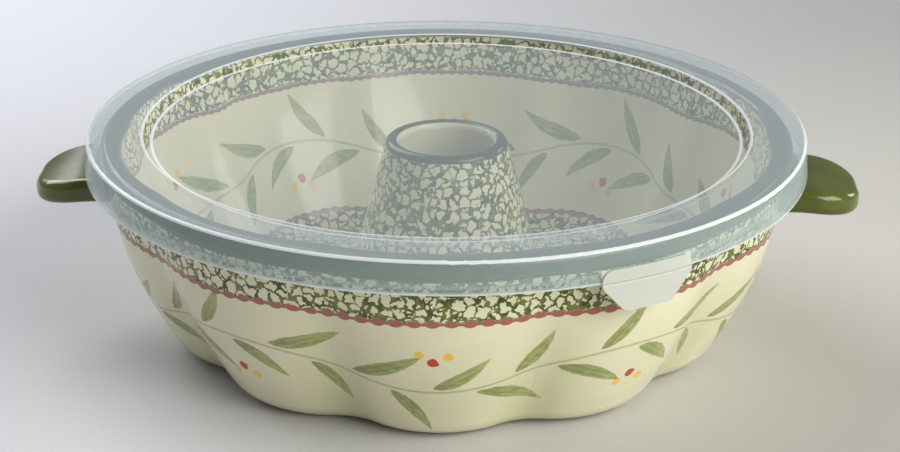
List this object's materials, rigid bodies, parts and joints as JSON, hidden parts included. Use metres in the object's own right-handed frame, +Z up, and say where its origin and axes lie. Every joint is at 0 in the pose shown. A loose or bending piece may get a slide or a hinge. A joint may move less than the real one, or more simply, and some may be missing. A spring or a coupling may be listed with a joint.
{
  "type": "fluted tube pan",
  "caption": "Glazed stoneware tube pan with soft flutes, a hollow centre tube and lug handles, under a frosted push-on plastic lid with a pull tab.",
  "frame": {"origin": "on the surface that the pan stands on, under the middle of the centre tube", "axes": "+Z up along the tube, +X along the line through the two lug handles, -Y towards the front of the picture"},
  "size_m": [0.302, 0.2632, 0.079],
  "materials": {
    "stoneware": "glossy cream glaze with sponged green rim and tube, painted leaves and green lugs",
    "frosted_lid": "translucent frosted plastic, smoother on its outer ring and skirt"
  },
  "bodies": {
    "pan": {"pan": "stoneware"},
    "lid": {"lid": "frosted_lid"}
  },
  "joints": [
    {"name": "lid_lift", "type": "slide", "parent": "pan", "child": "lid", "axis": [0, 0, 1], "range_m": [0, 0.12]}
  ]
}
